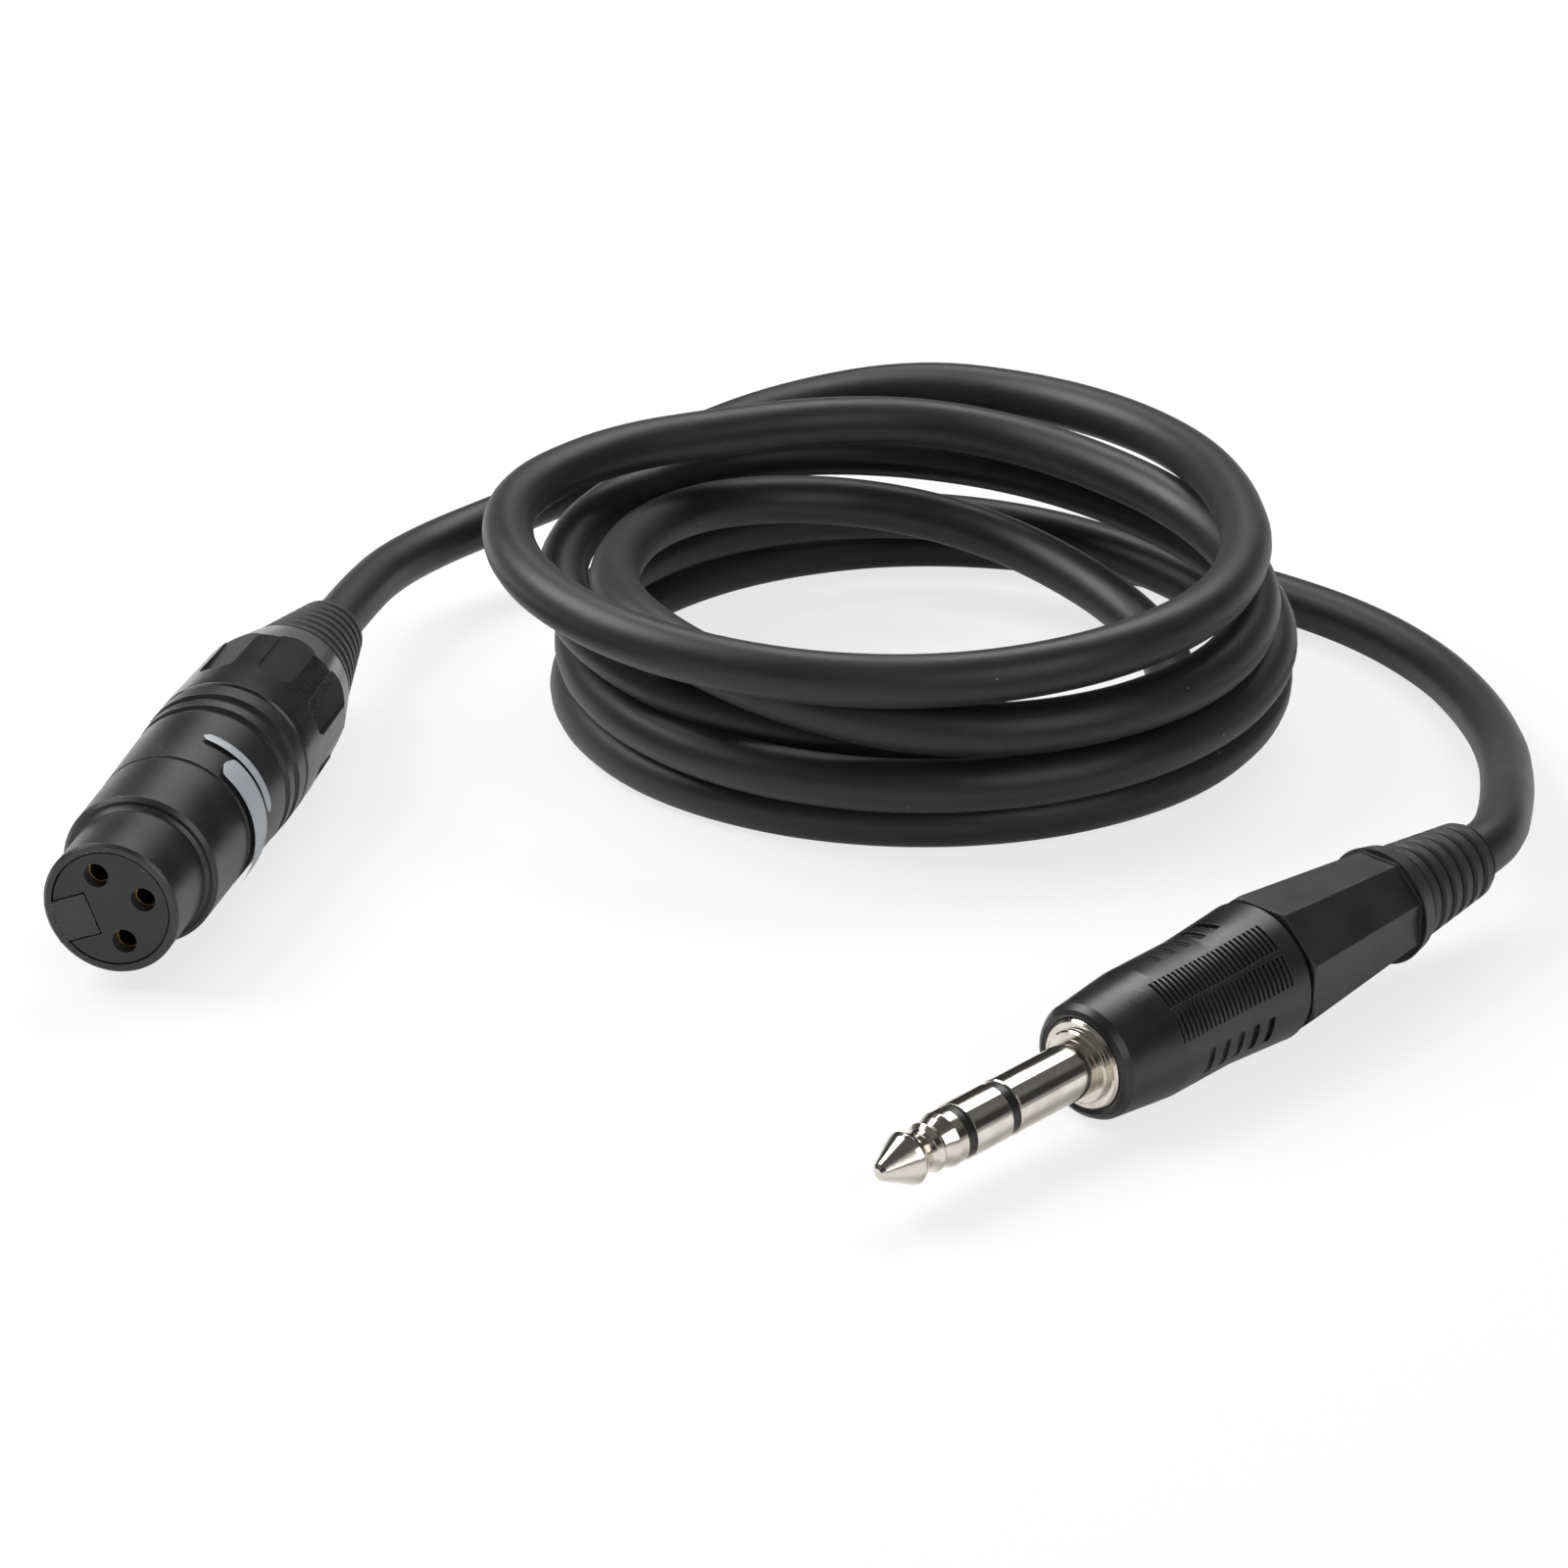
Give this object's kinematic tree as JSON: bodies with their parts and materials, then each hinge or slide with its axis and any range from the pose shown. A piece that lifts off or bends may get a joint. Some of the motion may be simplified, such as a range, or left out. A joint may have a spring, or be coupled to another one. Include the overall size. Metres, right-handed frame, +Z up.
{
  "type": "audio cable",
  "caption": "Coiled black audio cable with a female three-pole cable socket on one end and a 6.35 mm stereo jack plug on the other.",
  "frame": {"origin": "on the surface that the cable lies on, under the middle of the box round the two connectors", "axes": "+Z up, +X to the right as the two connectors point at the viewer, +Y away from the viewer"},
  "size_m": [0.1778, 0.1942, 0.031],
  "materials": {
    "shell": "satin black paint on die-cast zinc",
    "latch": "satin black",
    "insert": "fine moulded black",
    "contact_gold": "gilt",
    "spring_steel": "rolled strip",
    "chuck": "natural grey",
    "bushing": "semi-gloss moulded black",
    "boot": "matt black",
    "nickel": "polished nickel plate",
    "plug_insulator": "black",
    "washer": "pressed board",
    "lug": "tinned",
    "grip": "satin moulded black",
    "cap": "satin moulded black",
    "jacket": "matt black flexible PVC",
    "wire_red": "red insulation",
    "wire_white": "white insulation",
    "wire_bare": "bare copper strands"
  },
  "bodies": {
    "cable": {"xlr_shell": "shell", "xlr_insert": "insert", "xlr_contact_1": "contact_gold", "xlr_contact_2": "contact_gold", "xlr_contact_3": "contact_gold", "xlr_ground_spring": "spring_steel", "latch_pin": "spring_steel", "latch_spring": "spring_steel", "xlr_chuck": "chuck", "xlr_wire_1": "wire_bare", "xlr_wire_2": "wire_red", "xlr_wire_3": "wire_white", "cable_end_xlr": "jacket", "cable_lead_xlr": "jacket", "cable_coil": "jacket", "cable_lead_jack": "jacket", "cable_end_jack": "jacket", "jack_chuck": "chuck", "jack_tip": "nickel", "jack_insulator_front": "plug_insulator", "jack_ring": "nickel", "jack_insulator_rear": "plug_insulator", "jack_sleeve": "nickel", "jack_washer_front": "washer", "jack_washer_rear": "washer", "jack_lug_ring": "lug", "jack_lug_tip": "lug", "jack_ground_clamp": "lug", "jack_grip": "grip", "jack_wire_tip": "wire_red", "jack_wire_ring": "wire_white", "jack_wire_ground": "wire_bare"},
    "latch": {"latch_lever": "latch"},
    "socket_bushing": {"xlr_bushing": "bushing"},
    "socket_boot": {"xlr_boot": "boot"},
    "plug_cap": {"jack_cap": "cap"},
    "plug_boot": {"jack_boot": "boot"}
  },
  "joints": [
    {"name": "latch_press", "type": "hinge", "parent": "cable", "child": "latch", "pos_m": [-0.07331, 0.01573, 0.00846], "axis": [-0.335, 0.0688, 0.9397], "range_deg": [0, 4], "stiffness_Nm_per_rad": 0.2, "springref_deg": -5.73, "deforming": ["latch_spring"]},
    {"name": "socket_boot_slide", "type": "slide", "parent": "cable", "child": "socket_boot", "axis": [0.2011, 0.9796, 0], "range_m": [0, 0.005]},
    {"name": "socket_bushing_turn", "type": "hinge", "parent": "socket_boot", "child": "socket_bushing", "pos_m": [-0.06286, 0.04421, 0.0101], "axis": [0.2011, 0.9796, 0], "range_deg": [0, 1801]},
    {"name": "plug_boot_slide", "type": "slide", "parent": "cable", "child": "plug_boot", "axis": [0.7091, 0.7042, 0.035], "range_m": [0, 0.003]},
    {"name": "plug_cap_turn", "type": "hinge", "parent": "plug_boot", "child": "plug_cap", "pos_m": [0.06002, -0.01954, 0.00857], "axis": [0.7091, 0.7042, 0.035], "range_deg": [0, 1081]}
  ],
  "couplings": [
    {"joint": "socket_bushing_turn", "follows": "socket_boot_slide", "rad_per_m": 6283.2},
    {"joint": "plug_cap_turn", "follows": "plug_boot_slide", "rad_per_m": 6283.2}
  ]
}
